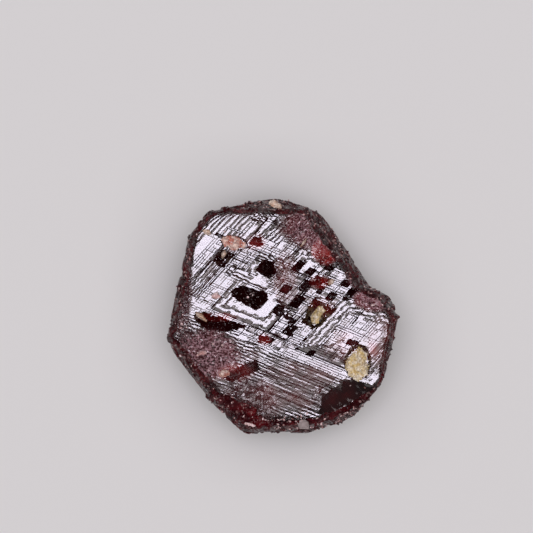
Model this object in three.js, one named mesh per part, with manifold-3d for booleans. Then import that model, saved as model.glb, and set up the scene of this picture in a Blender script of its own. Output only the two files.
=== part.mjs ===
// A loose garnet crystal with grains of its parent rock still lodged in its pits.
//
// Garnet grows as rhombic dodecahedra {110} and trapezohedra {211}. This one lies on a dodecahedral face,
// and the parallel face, covered in growth terraces, looks up. Two growths in parallel position make the
// body: the main one, and a shoulder at +X. Units are millimetres and +Z is up. The origin is on the surface
// that the crystal lies on, under the middle of its bounding box.
import * as THREE from "three";
import { mergeVertices } from "three/addons/utils/BufferGeometryUtils.js";
import Module from "manifold-3d";

const wasm = await Module();
wasm.setup();

// Driving dimensions.
const latticeTurn = 12.75; // degrees from +X to the long diagonal of the broad face's rhomb
const broadFaceHeight = 11.8; // top of the tallest terraces
const girdleHeight = 7.5; // where the walls are widest
const blockSide = 80; // side of the blocks that cut a flat face
const columnFoot = -1; // the terrace columns run from below the base
const pitTop = broadFaceHeight + 1; // pits are cut from above the highest terrace
const seatGap = 0.15; // clear space between a rock grain and the garnet round it
const grainRoughness = 0.12; // how far a grain's corners stray, as a share of its size

const up = new THREE.Vector3(0, 0, 1);
const down = new THREE.Vector3(0, 0, -1);
const radians = THREE.MathUtils.degToRad;

// Solids.

function solidFrom(geometry) {
  const bare = geometry.index ? geometry.toNonIndexed() : geometry.clone();
  bare.deleteAttribute("normal");
  bare.deleteAttribute("uv");
  const merged = mergeVertices(bare, 1e-4);
  return new wasm.Manifold(
    new wasm.Mesh({
      numProp: 3,
      vertProperties: merged.attributes.position.array,
      triVerts: new Uint32Array(merged.index.array),
    }),
  );
}

function geometryFrom(solid) {
  const mesh = solid.getMesh();
  const geometry = new THREE.BufferGeometry();
  geometry.setAttribute("position", new THREE.BufferAttribute(mesh.vertProperties, 3));
  geometry.setIndex(new THREE.BufferAttribute(mesh.triVerts, 1));
  geometry.computeVertexNormals();
  return geometry;
}

function joined(solids) {
  return solids.reduce((whole, piece) => whole.add(piece));
}

function common(solids) {
  return solids.reduce((whole, piece) => whole.intersect(piece));
}

// Cutting can free a splinter, so the crystal is the largest body that is left.
function largestBody(solid) {
  return solid.decompose().reduce((best, body) => (body.volume() > best.volume() ? body : best));
}

// Everything on the inner side of a plane that faces `normal`.
function behindPlane(normal, distance) {
  const block = new THREE.BoxGeometry(blockSide, blockSide, blockSide);
  block.translate(0, 0, distance - blockSide / 2);
  block.applyQuaternion(new THREE.Quaternion().setFromUnitVectors(up, normal));
  return solidFrom(block);
}

// The crystal lattice.

// Outward normal of the face (h k l), with (1 1 0) looking up.
function latticeNormal([h, k, l]) {
  const normal = new THREE.Vector3((k - h) / Math.SQRT2, l, (h + k) / Math.SQRT2);
  return normal.normalize().applyAxisAngle(up, radians(latticeTurn));
}

// The normal of the same face on the underside.
function undersideNormal(face) {
  const normal = latticeNormal(face);
  return normal.setZ(-normal.z);
}

// A cut whose face stands `reach` out from the Z axis at a height.
function sideCut(normal, reach, height = girdleHeight) {
  const level = Math.hypot(normal.x, normal.y);
  return behindPlane(normal, level * reach + normal.z * height);
}

// Faces of each growth, with their reach and, for belts and bevels, the height it is taken at.

const mainGrowth = {
  belt: [
    [[2, -1, 1], 8.0, 9.2],
    [[2, -1, -1], 7.95, 8.4],
    [[-1, 2, 1], 6.8, 7.5],
    [[-1, 2, -1], 6.9, 7.5],
  ],
  walls: [
    [[1, -1, 2], 9.08],
    [[-1, 1, 2], 8.0],
    [[1, -1, 0], 8.5],
    [[0, 0, 1], 8.65],
  ],
  bevels: [
    [[1, 0, 1], 8.9, 10.8],
    [[0, 1, 1], 7.7, 10.8],
    [[1, 1, 2], 8.5, 10.8],
    [[2, 1, -1], 8.4, 10.2],
  ],
};

const shoulderGrowth = {
  belt: [
    [[-1, 2, 1], 7.0, 8.4],
    [[-1, 2, -1], 8.15, 9.8],
    [[2, -1, 1], 1.5, 7.5],
  ],
  walls: [
    [[-1, 1, 2], 4.4],
    [[-1, 1, -2], 8.65],
    [[1, -1, -2], 7.6],
  ],
  bevels: [
    [[0, 1, 1], 4.0, 10.8],
    [[0, 1, -1], 8.45, 10.8],
  ],
};

// Dodecahedral faces round the foot, with their reach at the resting surface.
const footFaces = [
  [[0, 1, 1], 5.4],
  [[1, 0, 1], 5.8],
  [[0, 1, -1], 5.6],
  [[1, 0, -1], 5.6],
];

// Breaks: the way each faces, in degrees from +X, and its reach at the girdle. Three are at the foot and one
// is at the crown. The weathered one cuts only the main growth, above the notch between the two.
const breaks = [
  [-88, 8.55],
  [-68.6, 8.7],
  [-128, 8.5],
  [88, 8.6],
];
const weatheredBreak = [31.7, 6.55];
const breakTilts = [74, 100]; // above and below the girdle, in degrees from straight up

function growthSolid({ belt, walls, bevels }) {
  return common([
    behindPlane(up, broadFaceHeight),
    ...belt.map(([face, reach, height]) => sideCut(latticeNormal(face), reach, height)),
    ...belt.map(([face, reach, height]) => sideCut(undersideNormal(face), reach, height)),
    ...walls.map(([face, reach]) => sideCut(latticeNormal(face), reach)),
    ...bevels.map(([face, reach, height]) => sideCut(latticeNormal(face), reach, height)),
  ]);
}

function breakCuts([azimuth, reach]) {
  return breakTilts.map((tilt) => {
    const normal = new THREE.Vector3(Math.sin(radians(tilt)), 0, Math.cos(radians(tilt)));
    return sideCut(normal.applyAxisAngle(up, radians(azimuth)), reach);
  });
}

function footCuts() {
  const faces = footFaces.map(([face, reach]) => sideCut(undersideNormal(face), reach, 0));
  return [...faces, behindPlane(down, 0)];
}

// Terraces: growth sheets bounded by lines along the two edges of the broad face's rhomb. A place on the
// face is given by its distance s across one set of lines (towards +X, -Y) and t across the other (+Y).

const acrossS = latticeNormal([0, 1, -1]).setZ(0).normalize();
const acrossT = latticeNormal([0, 1, 1]).setZ(0).normalize();
const skew = acrossS.dot(acrossT);

function placeOf(s, t) {
  const alongS = (s - t * skew) / (1 - skew * skew);
  const alongT = (t - s * skew) / (1 - skew * skew);
  const place = acrossS.clone().multiplyScalar(alongS).addScaledVector(acrossT, alongT);
  return new THREE.Vector2(place.x, place.y);
}

function prism(outline, low, high) {
  const shape = new THREE.Shape(outline);
  const geometry = new THREE.ExtrudeGeometry(shape, { depth: high - low, bevelEnabled: false });
  return solidFrom(geometry.translate(0, 0, low));
}

function terrace([s0, s1], [t0, t1], top) {
  const outline = [placeOf(s0, t0), placeOf(s1, t0), placeOf(s1, t1), placeOf(s0, t1)];
  return prism(outline, columnFoot, top);
}

// The sheets that cover the whole face, each smaller than the one below.
const sheetCount = 6;
const lowestSheet = 10.1;
const sheetRise = 0.18;
const lowestSheetSpan = { s: [-9.1, 8.1], t: [-8.2, 8.0] };
const sheetInset = { s: [0.25, 0.22], t: [1.05, 0.33] };

function faceSheets() {
  const sheets = [terrace([-blockSide, blockSide], [-blockSide, blockSide], lowestSheet)];
  for (let n = 1; n <= sheetCount; n += 1) {
    const s = [lowestSheetSpan.s[0] + n * sheetInset.s[0], lowestSheetSpan.s[1] - n * sheetInset.s[1]];
    const t = [lowestSheetSpan.t[0] + n * sheetInset.t[0], lowestSheetSpan.t[1] - n * sheetInset.t[1]];
    sheets.push(terrace(s, t, lowestSheet + n * sheetRise));
  }
  return sheets;
}

// Growth hillocks on the sheets: the span in s, the span in t and the height of each terrace.
const hillocks = [
  [[-5.0, 0.6], [-1.6, 4.4], 11.3],
  [[-4.3, -0.4], [-1.4, 2.9], 11.42],
  [[-8.2, -4.2], [3.2, 5.7], 11.3],
  [[-7.4, -4.8], [3.5, 5.2], 11.42],
  [[2.24, 7.3], [-1.6, 3.4], 11.35],
  [[2.6, 6.4], [-1.3, 3.0], 11.5],
  [[3.1, 6.0], [-0.9, 2.6], 11.65],
  [[3.6, 5.4], [-0.2, 2.1], broadFaceHeight],
];

function terraceSolid() {
  return joined([...faceSheets(), ...hillocks.map(([s, t, top]) => terrace(s, t, top))]);
}

// Pits: the height of each floor, and its outline.
const pits = [
  [8.9, [[-3.9, 1.85], [-3.5, 1.2], [-1.9, 0.4], [-1.1, 1.2], [-1.2, 1.8], [-3.1, 2.35]]],
  [9.6, [[-1.9, 3.3], [-0.95, 2.9], [-0.6, 3.2], [-0.6, 3.85], [-1.35, 4.1]]],
  [9.9, [[-5.1, 4.0], [-4.4, 3.55], [-3.5, 4.5], [-4.55, 4.8]]],
  [10.3, [[-2.6, 5.2], [-1.9, 4.9], [-1.4, 5.1], [-1.6, 5.75], [-2.2, 5.85]]],
  [10.5, [[-5.0, 5.8], [-4.0, 5.45], [-3.9, 5.7], [-4.9, 6.1]]],
  [9.3, [[-6.4, 0.2], [-6.3, -0.4], [-5.5, -1.0], [-4.1, -1.1], [-2.7, -0.8], [-2.6, -0.6], [-5.7, 0.45]]],
  [9.5, [[1.15, -0.55], [1.9, -1.0], [3.75, 0.95], [2.25, 1.4]]],
  [10.4, [[-1.9, -1.9], [-1.05, -1.95], [-0.95, -1.35], [-1.85, -1.25]]],
  [10.1, [[1.95, 2.25], [2.7, 2.1], [3.3, 2.75], [2.4, 2.95]]],
  [10.6, [[-0.7, 0.35], [0.85, -0.6], [1.0, -0.35], [-0.4, 0.6]]],
  [10.3, [[-4.7, -4.3], [-3.8, -4.8], [-2.0, -3.7], [-2.1, -3.3]]],
];

function pitSolid([floor, outline]) {
  return prism(outline.map(([x, y]) => new THREE.Vector2(x, y)), floor, pitTop);
}

// The smooth shell-like fracture at the foot of the shoulder.
const scoop = { radius: 4, middle: [4.7, -7.3, 13.9], detail: 6 };

function scoopSolid() {
  const ball = new THREE.IcosahedronGeometry(scoop.radius, scoop.detail);
  return solidFrom(ball.translate(...scoop.middle));
}

// Rock grains: the middle, the half sizes, the turn about +Z in degrees and the colour.
const quartzYellow = 0xd9c77e;
const sparCream = 0xdcc2a6;
const sparPink = 0xd4a59c;
const micaGrey = 0x9c9488;

const grains = {
  quartz_grain_shoulder: { at: [5.3, -3.35, 11.0], half: [0.85, 1.2, 0.5], turn: -8, colour: quartzYellow },
  quartz_grain_notch: { at: [2.4, 0.05, 10.5], half: [0.38, 0.78, 0.7], turn: -20, colour: quartzYellow },
  feldspar_patch_crown: { at: [-3.5, 5.3, 11.1], half: [1.05, 0.46, 0.28], turn: -14, colour: sparPink },
  feldspar_grain_peak: { at: [-0.5, 7.98, 10.5], half: [0.52, 0.27, 0.3], turn: -25, colour: sparCream },
  feldspar_grain_crack: { at: [-5.38, 6.02, 11.2], half: [0.34, 0.2, 0.25], turn: -25, colour: sparPink },
  feldspar_grain_pit: { at: [-4.28, 4.5, 10.6], half: [0.16, 0.34, 0.5], turn: -25, colour: sparCream },
  feldspar_grain_slot: { at: [-5.85, -0.02, 10.85], half: [0.55, 0.2, 0.35], turn: -38, colour: sparCream },
  feldspar_grain_sliver: { at: [1.45, 5.3, 11.1], half: [0.14, 0.42, 0.22], turn: -32, colour: sparCream },
  feldspar_grain_round: { at: [-4.75, 1.5, 11.42], half: [0.36, 0.26, 0.22], turn: 0, colour: sparPink },
  feldspar_grain_gully: { at: [-4.2, -4.05, 10.5], half: [0.4, 0.32, 0.3], turn: 15, colour: sparCream },
  feldspar_grain_ember: { at: [3.4, 2.5, 11.1], half: [0.28, 0.17, 0.25], turn: 40, colour: sparCream },
  feldspar_grain_west: { at: [-5.85, -2.62, 10.9], half: [0.45, 0.18, 0.2], turn: 18, colour: sparPink },
  feldspar_grain_foot: { at: [-2.35, -7.72, 9.95], half: [0.45, 0.2, 0.22], turn: -15, colour: sparCream },
  mica_flake_foot: { at: [1.5, -7.72, 10.0], half: [0.52, 0.32, 0.16], turn: -20, colour: micaGrey },
};

// A repeatable value from -1 to 1 for a corner.
function stray(corner) {
  const wave = 43758.5453 * Math.sin(corner.dot(new THREE.Vector3(12.9898, 78.233, 37.719)));
  return 2 * (wave - Math.floor(wave)) - 1;
}

function grainGeometry({ at, half, turn }, margin = 0) {
  const geometry = new THREE.IcosahedronGeometry(1, 1);
  const corners = geometry.attributes.position;
  for (let n = 0; n < corners.count; n += 1) {
    const corner = new THREE.Vector3().fromBufferAttribute(corners, n);
    const steps = corner.clone().multiplyScalar(100).round(); // the same for every copy of a shared corner
    corner.multiplyScalar(1 + grainRoughness * stray(steps));
    corners.setXYZ(n, ...corner);
  }
  geometry.scale(...half.map((length) => length + margin));
  geometry.rotateZ(radians(turn));
  return geometry.translate(...at);
}

// The object.

function garnetSolid() {
  const main = common([growthSolid(mainGrowth), ...breakCuts(weatheredBreak)]);
  const grown = main.add(growthSolid(shoulderGrowth));
  const body = common([grown, terraceSolid(), ...footCuts(), ...breaks.flatMap(breakCuts)]);
  const seats = Object.values(grains).map((grain) => solidFrom(grainGeometry(grain, seatGap)));
  return largestBody(body.subtract(joined([...pits.map(pitSolid), scoopSolid(), ...seats])));
}

function namedMesh(name, geometry, color, roughness) {
  const mesh = new THREE.Mesh(geometry, new THREE.MeshStandardMaterial({ color, roughness, metalness: 0 }));
  mesh.name = name;
  return mesh;
}

const crystal = namedMesh("garnet_crystal", geometryFrom(garnetSolid()), 0x3a0d12, 0.25);
const specimen = new THREE.Group();
specimen.add(crystal);
for (const [name, grain] of Object.entries(grains)) {
  specimen.add(namedMesh(name, grainGeometry(grain), grain.colour, 0.8));
}

export default specimen;
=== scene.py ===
import math

import bmesh
import bpy
import numpy as np
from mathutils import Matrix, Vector, noise
from mathutils.geometry import delaunay_2d_cdt


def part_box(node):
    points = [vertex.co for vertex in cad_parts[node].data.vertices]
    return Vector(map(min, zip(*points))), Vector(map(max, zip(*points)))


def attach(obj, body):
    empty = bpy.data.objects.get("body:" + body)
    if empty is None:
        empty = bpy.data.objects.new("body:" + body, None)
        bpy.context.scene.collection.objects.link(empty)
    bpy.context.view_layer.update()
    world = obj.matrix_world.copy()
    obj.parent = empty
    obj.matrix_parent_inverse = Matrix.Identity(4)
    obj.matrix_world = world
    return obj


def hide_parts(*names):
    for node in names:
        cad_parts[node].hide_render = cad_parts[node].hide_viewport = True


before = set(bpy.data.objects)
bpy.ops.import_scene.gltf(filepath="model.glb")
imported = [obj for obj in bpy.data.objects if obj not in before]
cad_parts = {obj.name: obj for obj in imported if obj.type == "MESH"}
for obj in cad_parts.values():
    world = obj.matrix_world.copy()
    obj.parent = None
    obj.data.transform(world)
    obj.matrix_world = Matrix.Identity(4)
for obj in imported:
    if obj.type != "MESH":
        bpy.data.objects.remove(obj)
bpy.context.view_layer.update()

mm = 0.001
noise.seed_set(7)  # a fixed seed, so that every run draws the same granules and leaves


# An sRGB hex colour as the linear values that Blender mixes.
def linear(hexColour):
    channels = [int(hexColour[n:n + 2], 16) / 255 for n in (1, 3, 5)]
    return tuple(c / 12.92 if c <= 0.04045 else ((c + 0.055) / 1.055) ** 2.4 for c in channels) + (1.0,)


# Adds a node. Each setting is a property of the node, a socket's value, or the output that feeds a socket.
def addNode(tree, kind, settings=None):
    node = tree.nodes.new(kind)
    for name, value in (settings or {}).items():
        if isinstance(value, bpy.types.NodeSocket):
            tree.links.new(value, node.inputs[name])
        elif isinstance(name, str) and hasattr(node, name):
            setattr(node, name, value)
        else:
            node.inputs[name].default_value = value
    return node


# Puts a mesh, a camera or a light in the scene, at the origin.
def addPiece(name, data):
    piece = bpy.data.objects.new(name, data)
    bpy.context.scene.collection.objects.link(piece)
    return piece


# A new Geometry Nodes tree: it takes a mesh, other things by their kind of socket, and named numbers.
def newTree(name, others, numbers):
    tree = bpy.data.node_groups.new(name, "GeometryNodeTree")
    kinds = {"Geometry": "Geometry", **others, **dict.fromkeys(numbers, "Float")}
    for socket, kind in kinds.items():
        tree.interface.new_socket(name=socket, in_out="INPUT", socket_type="NodeSocket" + kind)
    tree.interface.new_socket(name="Geometry", in_out="OUTPUT", socket_type="NodeSocketGeometry")
    return tree, addNode(tree, "NodeGroupInput").outputs


# Every tree ends alike: its shape is made real and gets its material.
def endTree(tree, shape, stone):
    whole = addNode(tree, "GeometryNodeRealizeInstances", {"Geometry": shape}).outputs[0]
    finished = addNode(tree, "GeometryNodeSetMaterial", {"Geometry": whole, "Material": stone}).outputs[0]
    addNode(tree, "NodeGroupOutput", {0: finished})
    return tree


# Runs a Geometry Nodes tree on a piece and keeps the result as its plain mesh.
def runTree(piece, tree, values):
    modifier = piece.modifiers.new(tree.name, "NODES")
    modifier.node_group = tree
    for socket in tree.interface.items_tree:
        if socket.in_out == "INPUT" and socket.name in values:
            modifier[socket.identifier] = values[socket.name]
    depsgraph = bpy.context.evaluated_depsgraph_get()
    result = bpy.data.meshes.new_from_object(piece.evaluated_get(depsgraph))
    piece.modifiers.remove(modifier)
    piece.data = result
    print(tree.name, "made", len(result.polygons), "faces")


# A new material, with its tree, its shader, and the places on the piece that its patterns follow.
def newStone(name):
    stone = bpy.data.materials.new(name)
    stone.use_nodes = True
    tree = stone.node_tree
    coords = addNode(tree, "ShaderNodeTexCoord").outputs["Object"]
    return stone, tree, tree.nodes["Principled BSDF"], coords


# The camera looks straight down on the terraced face.
camera = {
    "aim": (-1.21, 3.61, 11.3),  # mm, the middle of the view on the terraced face
    "distance": 300.0,
    "nearClip": 10.0,
    "fieldWidth": 38.07,
    "sensor": 36.0,
}


def makeCamera():
    data = bpy.data.cameras.new("camera")
    data.sensor_width = camera["sensor"]
    data.lens = camera["sensor"] * camera["distance"] / camera["fieldWidth"]
    data.clip_start = camera["nearClip"] * mm
    piece = addPiece("camera", data)
    x, y, z = camera["aim"]
    piece.location = Vector((x, y, z + camera["distance"])) * mm
    bpy.context.scene.camera = piece
    print("camera made")


makeCamera()

# Soft studio light: nested softboxes over the crystal, dimmer outwards, that the level terraces mirror.
lights = {
    "key": {"place": (-10, 10, 520), "size": 150, "watts": 0.6, "colour": "#e4e2f6"},
    "overhead": {"place": (0, 20, 540), "size": 250, "watts": 0.55, "colour": "#f4dfe9"},
    "halo": {"place": (0, 0, 620), "size": 700, "watts": 2.8, "colour": "#f5eef0"},
}
room = {"colour": "#d9dade", "strength": 0.12}


def makeLights():
    for name, light in lights.items():
        data = bpy.data.lights.new(name, "AREA")
        data.size = light["size"] * mm
        data.energy = light["watts"]
        data.color = linear(light["colour"])[:3]
        piece = addPiece(name, data)
        piece.location = Vector(light["place"]) * mm
        piece.rotation_euler = piece.location.to_track_quat("Z", "Y").to_euler()
    world = bpy.data.worlds.new("studio")
    world.use_nodes = True
    background = world.node_tree.nodes["Background"]
    background.inputs["Color"].default_value = linear(room["colour"])
    background.inputs["Strength"].default_value = room["strength"]
    bpy.context.scene.world = world
    bpy.context.scene.view_settings.view_transform = "Standard"
    print("lights made")


makeLights()

# A sheet of plain matt card.
floor = {"side": 1200, "colour": "#dee1dc", "roughness": 0.9}


def makeFloor():
    half = floor["side"] / 2 * mm
    mesh = bpy.data.meshes.new("floor")
    corners = [(-half, -half, 0), (half, -half, 0), (half, half, 0), (-half, half, 0)]
    mesh.from_pydata(corners, [], [(0, 1, 2, 3)])
    piece = addPiece("floor", mesh)
    card = bpy.data.materials.new("matt card")
    card.use_nodes = True
    shader = card.node_tree.nodes["Principled BSDF"]
    shader.inputs["Base Color"].default_value = linear(floor["colour"])
    shader.inputs["Roughness"].default_value = floor["roughness"]
    mesh.materials.append(card)
    print("floor made")


makeFloor()

# The crystal. Lengths are in mm and angles in degrees. A face is given by its Miller index, with (1 1 0)
# looking up, and by how far out it stands, at a height where one is given. Breaks are given by azimuth. A
# growth's faces below the girdle mirror the ones above.
crystal = {
    "latticeTurn": 12.75,
    "pitch": 0.056,
    "girdle": 7.5,
    "wallLean": 3.0,
    "cornerRounding": 0.10,
    "shoulderRounding": 0.22,
    "growthSeam": 0.06,  # the rounding where the two growths meet
    "rimDrop": 0.5,
    "edgeWidth": 0.3,
    "edgeWaves": ((0.35, 7, 1), (0.25, 16, 2), (0.2, 37, 0)),
    "mainBelt": [
        ((2, -1, 1), 8.0, 9.2), ((2, -1, -1), 7.95, 8.4), ((-1, 2, 1), 6.8, 7.5), ((-1, 2, -1), 6.9, 7.5),
    ],
    "mainWalls": [((1, -1, 2), 9.08), ((-1, 1, 2), 8.0), ((1, -1, 0), 8.5), ((0, 0, 1), 8.65)],
    "mainBevels": [
        ((1, 0, 1), 8.9, 10.8), ((0, 1, 1), 7.7, 10.8), ((1, 1, 2), 8.5, 10.8), ((2, 1, -1), 8.4, 10.2),
    ],
    "shoulderBelt": [((-1, 2, 1), 7.0, 8.4), ((-1, 2, -1), 8.15, 9.8), ((2, -1, 1), 1.5, 7.5)],
    "shoulderWalls": [((-1, 1, 2), 4.4), ((-1, 1, -2), 8.65), ((1, -1, -2), 7.6)],
    "shoulderBevels": [((0, 1, 1), 4.0, 10.8), ((0, 1, -1), 8.45, 10.8)],
    "footFaces": [((0, 1, 1), 5.4), ((1, 0, 1), 5.8), ((0, 1, -1), 5.6), ((1, 0, -1), 5.6)],
    "breaks": [(-88, 8.55), (-68.6, 8.7), (-128, 8.5), (88, 8.6)],
    "weatheredBreak": (31.7, 6.55),
    "breakTilts": (74, 100),
    "columns": 420,
    "rows": 52,
    "rimFade": 0.5,
    "basePitch": 0.3,
    "baseStep": 0.09,
    "faceReach": 11.5,  # past the farthest corner
    "baseReach": 9.0,
}
faraway = 99.0  # mm, past every place on the crystal


# The way that a crystal face looks, with the lattice turned to its place in the frame.
def latticeNormal(face):
    h, k, l = face
    v = np.array([(k - h) / math.sqrt(2), l, (h + k) / math.sqrt(2)])
    v /= np.linalg.norm(v)
    turn = math.radians(crystal["latticeTurn"])
    c, s = math.cos(turn), math.sin(turn)
    return np.array([c * v[0] - s * v[1], s * v[0] + c * v[1], v[2]])


def levelled(v):
    return v[:2] / np.linalg.norm(v[:2])


acrossS = levelled(latticeNormal((0, 1, -1)))
acrossT = levelled(latticeNormal((0, 1, 1)))


# The distances s and t of a place across the two sets of growth lines, and the place at such distances.
def linesOf(x, y):
    return acrossS[0] * x + acrossS[1] * y, acrossT[0] * x + acrossT[1] * y


def placeOf(s, t):
    skew = acrossS @ acrossT
    a = (s - t * skew) / (1 - skew * skew)
    b = (t - s * skew) / (1 - skew * skew)
    return acrossS[0] * a + acrossT[0] * b, acrossS[1] * a + acrossT[1] * b


# A grid of places along the lattice.
def latticeGrid(pitch, reach):
    count = int(reach / pitch)
    steps = np.arange(-count, count + 1)
    i, j = np.meshgrid(steps, steps, indexing="ij")
    return placeOf(i * pitch, j * pitch)


# A wavering factor round an outline. Each wave has its depth, how many go round, and where it starts.
def waver(angle, waves):
    return sum((depth * np.sin(count * angle + start) for depth, count, start in waves), 1)


# White noise from 0 to 1 on bricks of size du by dv, nudged so that no grid line lies on a brick's edge.
def bricks(u, v, du, dv, seed):
    wave = 43758.5453 * np.sin(np.floor(u / du + 0.013) * 12.9898 + np.floor(v / dv + 0.017) * 78.233 + seed)
    return wave - np.floor(wave)


# The smaller of several heights or reaches, with the corner between any two rounded.
def roundedLeast(values, rounding):
    values = np.stack(values)
    least = values.min(axis=0)
    return least - rounding * np.log(np.exp((least - values) / rounding).sum(axis=0))


# A plane that stands out by a reach at a height, for a normal that needn't be level.
def planeOf(normal, reach, height):
    return normal, np.linalg.norm(normal[:2]) * reach + normal[2] * height


# The walls stand upright in the lattice. Each is drawn leaning in a little, above the girdle and below.
def leaning(normal, side):
    lean = math.radians(crystal["wallLean"])
    flat = levelled(normal)
    return np.array([flat[0] * math.cos(lean), flat[1] * math.cos(lean), side * math.sin(lean)])


def breakNormal(azimuth, tilt):
    a, b = math.radians(azimuth), math.radians(tilt)
    return np.array([math.cos(a) * math.sin(b), math.sin(a) * math.sin(b), math.cos(b)])


# The planes that close a growth: a normal and a distance each.
def growthPlanes(name):
    girdle = crystal["girdle"]
    turnedDown = np.array([1, 1, -1])
    planes = []
    for face, reach, height in crystal[name + "Belt"]:
        planes.append(planeOf(latticeNormal(face), reach, height))
        planes.append(planeOf(latticeNormal(face) * turnedDown, reach, height))
    for face, reach in crystal[name + "Walls"]:
        planes.append(planeOf(leaning(latticeNormal(face), 1), reach, girdle))
        planes.append(planeOf(leaning(latticeNormal(face), -1), reach, girdle))
    for face, reach, height in crystal[name + "Bevels"]:
        planes.append(planeOf(latticeNormal(face), reach, height))
    breaks = crystal["breaks"] + [crystal["weatheredBreak"]] * (name == "main")
    for azimuth, reach in breaks:
        for tilt in crystal["breakTilts"]:
            planes.append(planeOf(breakNormal(azimuth, tilt), reach, girdle))
    for face, reach in crystal["footFaces"]:
        planes.append(planeOf(latticeNormal(face) * turnedDown, reach, 0))
    return planes


growths = [growthPlanes("main"), growthPlanes("shoulder")]


# The height at which the faces that look up pass over a place.
def sideHeight(x, y):
    tops = []
    for planes in growths:
        faces = [(d - n[0] * x - n[1] * y) / n[2] for n, d in planes if n[2] > 0]
        tops.append(roundedLeast(faces, crystal["shoulderRounding"]))
    return np.max(tops, axis=0)


# How far out the sides stand, at angles round the crystal and at heights.
def sideReach(angle, z):
    reaches = []
    glancing = 0.05
    for planes in growths:
        out = []
        for n, d in planes:
            facing = n[0] * np.cos(angle) + n[1] * np.sin(angle)
            reach = (d - n[2] * z) / np.maximum(facing, glancing)
            out.append(np.where(facing > glancing, reach, faraway))
        reaches.append(roundedLeast(out, crystal["cornerRounding"]))
    return -roundedLeast([-reaches[0], -reaches[1]], crystal["growthSeam"])


# Terraces of the broad face. A hillock is a rhomb: its span in s and in t, the cliff at its edge, the grade
# that it rises by inside, and how far in it goes on rising. A flight is a rhomb of steps: its spans, the way
# it climbs, its height at the low end of that span and its grade. A slope falls from a start to one side. A
# channel is a narrow groove along a growth line: the line's place, and where it starts and ends. A hole is a
# rhomb, given by its spans, that goes down by steps.
terraces = {
    "plateau": 11.075,
    "hillocks": [
        ((2.24, 7.4), (-1.75, 3.2), 0.25, 0.14, 1.1),
        ((-4.27, -0.2), (-1.44, 3.0), 0.10, 0.10, 0.9),
        ((-9.6, -5.5), (3.55, 7.2), 0.20, 0.10, 0.6),
        ((-5.4, -4.27), (-1.1, 3.6), 0.05, 0.0, 1.0),
        ((-0.1, 1.25), (-1.45, -0.75), 0.10, 0.0, 1.0),
        ((1.4, 2.15), (-1.85, -1.2), 0.05, 0.0, 1.0),
        ((-1.3, -0.3), (-1.95, -1.5), 0.05, 0.0, 1.0),
        ((-2.9, -1.5), (-2.5, -1.8), 0.10, 0.0, 1.0),
        ((-2.6, 0.4), (2.7, 5.0), 0.10, 0.12, 0.8),
        ((0.45, 0.95), (-0.2, 2.75), 0.24, 0.1, 0.2),
        ((0.45, 3.0), (2.15, 2.75), 0.24, 0.1, 0.2),
    ],
    "flights": [
        ((-5.2, -2.2), (1.2, 3.8), "t", 11.32, -0.2),
        ((-6.2, -3.8), (4.7, 7.6), "s", 11.32, -0.18),
        ((-2.7, -0.1), (2.75, 5.2), "s", 11.35, -0.14),
        ((-6.7, -5.4), (-1.1, 3.4), "s", 10.92, 0.28),
        ((-1.2, 0.8), (0.12, 0.95), "t", 11.13, 0.22),
    ],
    "slopes": [
        ("s", -1, -6.3, 11.32, 0.15),
        ("s", 1, 5.9, 11.62, 0.20),
        ("t", -1, -1.9, 11.22, 0.22),
        ("t", 1, 5.6, 11.3, 0.22),
    ],
    "channels": [
        ("t", -0.95, -0.15, 2.2), ("t", -1.55, 0.2, 2.1), ("s", 0.55, -1.8, -0.3), ("s", 1.3, -1.9, -0.4),
        ("s", -0.75, -1.9, -1.45), ("s", 2.2, -1.75, 2.6), ("t", -1.8, 2.2, 5.9), ("s", 3.35, -1.2, 0.6),
        ("t", 0.9, 3.3, 5.2), ("s", 0.2, 2.9, 4.6), ("s", -0.6, 3.0, 5.2), ("t", 3.3, -1.8, 0.6),
        ("t", 3.9, -0.8, 1.8), ("s", 1.5, 3.0, 5.4), ("t", 4.6, 0.2, 2.2), ("t", 6.0, -7.6, -4.2),
        ("t", 4.4, -7.8, -6.2), ("s", -4.85, 1.2, 3.4), ("t", 2.6, -6.4, -4.4),
        ("t", -0.35, -0.1, 1.5), ("s", 0.95, -0.9, 0.9), ("s", -0.05, -1.7, 2.6), ("t", 0.55, 0.1, 2.1),
        ("t", 1.5, 0.0, 1.4), ("t", 2.1, -0.1, 2.0), ("s", 1.7, 1.6, 3.0), ("t", 3.05, 0.8, 3.2),
        ("s", 2.5, 2.9, 4.4), ("t", 3.6, 1.0, 2.8), ("s", -1.6, 3.1, 4.3), ("t", 5.1, -3.4, -0.4),
        ("s", -2.5, 4.6, 6.6), ("s", -3.4, 5.2, 7.2), ("t", -2.2, -3.6, 1.4), ("t", -2.45, -0.4, 5.2),
        ("s", -3.9, -2.6, -1.6), ("s", -2.95, -2.6, -1.7), ("s", 4.4, -1.5, -0.4), ("s", 3.9, 1.4, 2.8),
    ],
    "holes": [
        ((-1.5, -0.9), (1.6, 2.2)), ((-0.6, -0.1), (2.2, 3.1)), ((0.5, 1.0), (3.3, 3.8)),
        ((-0.3, 0.3), (0.9, 1.9)), ((1.5, 2.0), (3.7, 4.2)), ((-1.9, -1.4), (3.4, 4.2)),
        ((-0.2, 0.4), (4.3, 4.7)), ((2.3, 2.7), (4.6, 5.3)), ((0.2, 0.6), (-2.1, -1.7)),
        ((1.05, 1.55), (0.9, 1.7)), ((0.7, 1.3), (-1.1, -0.3)), ((1.3, 1.8), (2.3, 3.0)),
        ((-1.0, -0.5), (3.5, 4.0)), ((0.5, 0.85), (2.5, 3.1)), ((2.2, 2.7), (3.2, 3.9)),
        ((-0.9, -0.4), (0.2, 0.7)), ((3.0, 3.4), (-1.9, -1.4)),
    ],
    "holeSteepness": 1.8,
    "channelWidth": 0.14,
    "channelDepth": 0.16,
    "wornEdge": 0.2,  # how far the face sinks where its edge is worn away
}


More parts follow.
